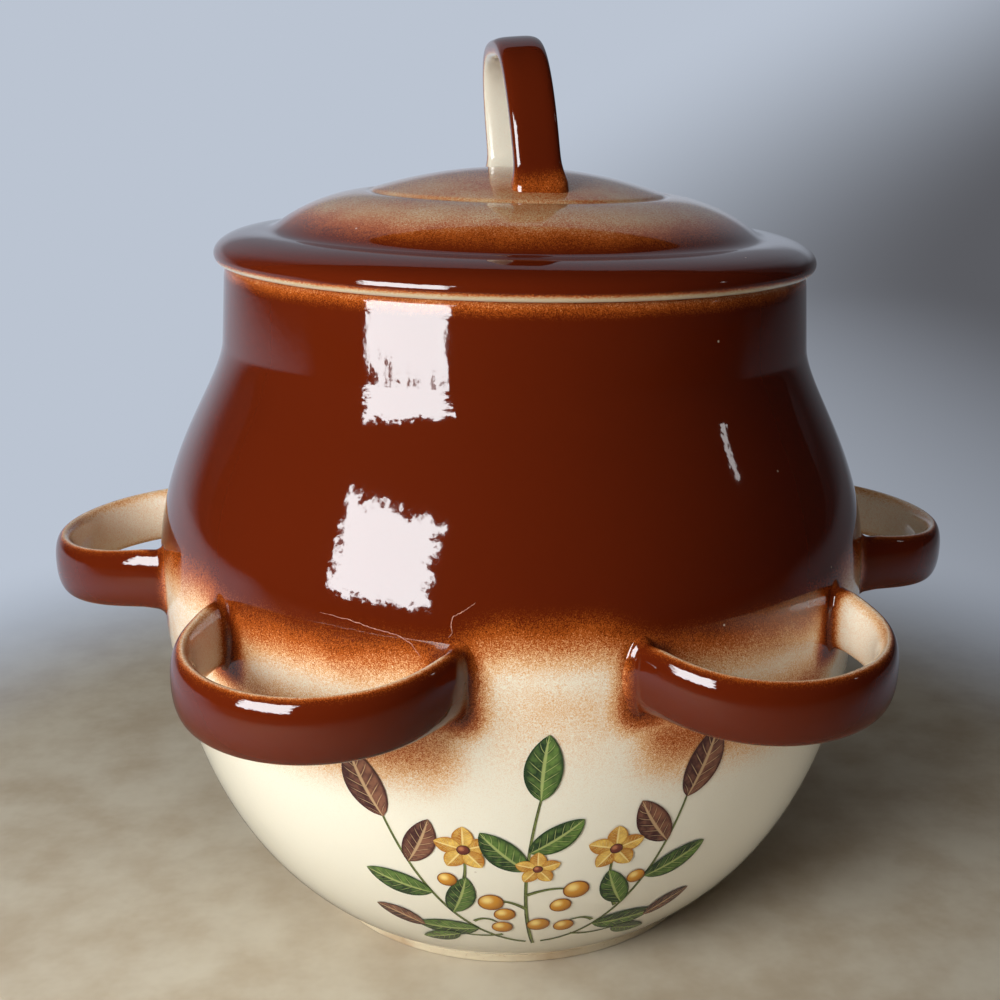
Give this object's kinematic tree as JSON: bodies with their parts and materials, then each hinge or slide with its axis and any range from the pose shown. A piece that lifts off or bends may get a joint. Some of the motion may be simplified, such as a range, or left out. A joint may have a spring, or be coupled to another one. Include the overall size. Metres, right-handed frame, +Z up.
{
  "type": "bean pot",
  "caption": "Round-bellied stoneware pot with strap loops round its belly, a turned foot and a lift-off lid with a strap handle.",
  "frame": {"origin": "middle of the foot's standing face, on the table", "axes": "+Z up; -Y is the front, in the middle of a gap between two loops; +X to the right seen from the front, across the two side loops"},
  "size_m": [0.3294, 0.2985, 0.3046],
  "materials": {
    "pot_glaze": "glossy red-brown glaze sprayed over cream, fading through speckled tan to cream on the lower belly",
    "loop_glaze": "glossy red-brown glaze outside, cream inside, speckled tan along the edges",
    "lid_glaze": "glossy glaze, red-brown rim band fading through speckled tan to a cream middle",
    "handle_glaze": "glossy red-brown glaze outside, cream inside",
    "bare_stoneware": "matt bare cream stoneware",
    "decal_print": "flat printed sprigs fired under the same glossy glaze"
  },
  "bodies": {
    "pot": {"pot_body": "pot_glaze", "foot_ring": "bare_stoneware", "loop_front_right": "loop_glaze", "loop_side_right": "loop_glaze", "loop_back_right": "loop_glaze", "loop_back_left": "loop_glaze", "loop_side_left": "loop_glaze", "loop_front_left": "loop_glaze"},
    "lid": {"lid_cover": "lid_glaze", "lid_locating_ring": "bare_stoneware", "lid_handle": "handle_glaze"}
  },
  "joints": [
    {"name": "lid_lift", "type": "slide", "parent": "pot", "child": "lid", "axis": [0, 0, 1], "range_m": [0, 0.1]}
  ]
}
